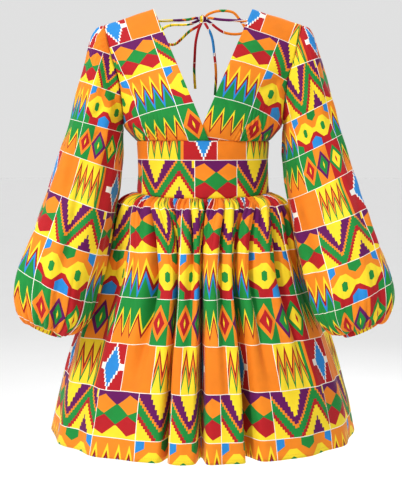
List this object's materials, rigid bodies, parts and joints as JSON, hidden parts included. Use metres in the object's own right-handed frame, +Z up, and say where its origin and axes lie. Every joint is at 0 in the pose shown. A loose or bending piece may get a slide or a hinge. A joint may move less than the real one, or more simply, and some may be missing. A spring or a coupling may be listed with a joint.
{
  "type": "swing dress",
  "caption": "Short swing dress in a worn shape: crossed V front, open back with a bow tie, balloon sleeves on elastic cuffs, waist band and gathered skirt.",
  "frame": {"origin": "midway between the middles of the two shoulder seams, where the wearer's shoulders hold the dress up", "axes": "+Z up, -Y towards the front of the dress, +X towards the wearer's left, which is the viewer's right"},
  "size_m": [0.7052, 0.532, 0.855],
  "materials": {
    "bodice_cloth": "printed plain-weave cotton, soft sheen",
    "band_cloth": "printed plain-weave cotton, smooth, two layers",
    "skirt_cloth": "printed plain-weave cotton, gathered",
    "sleeve_cloth": "printed plain-weave cotton, full and soft",
    "cuff_casing": "printed cotton casing over elastic, shirred",
    "tie_cord": "turned cotton tube, 5.5 mm thick"
  },
  "bodies": {
    "root": {"band_back": "band_cloth", "band_front": "band_cloth", "bodice_back_left": "bodice_cloth", "bodice_back_right": "bodice_cloth", "bodice_front_left": "bodice_cloth", "bodice_front_right": "bodice_cloth", "cuff_left": "cuff_casing", "cuff_right": "cuff_casing", "skirt_back": "skirt_cloth", "skirt_front": "skirt_cloth", "sleeve_left": "sleeve_cloth", "sleeve_right": "sleeve_cloth", "tie_knot": "tie_cord", "tie_loop_left": "tie_cord", "tie_loop_right": "tie_cord", "tie_strap_left": "tie_cord", "tie_strap_right": "tie_cord", "tie_tail_left": "tie_cord", "tie_tail_right": "tie_cord"}
  },
  "joints": []
}
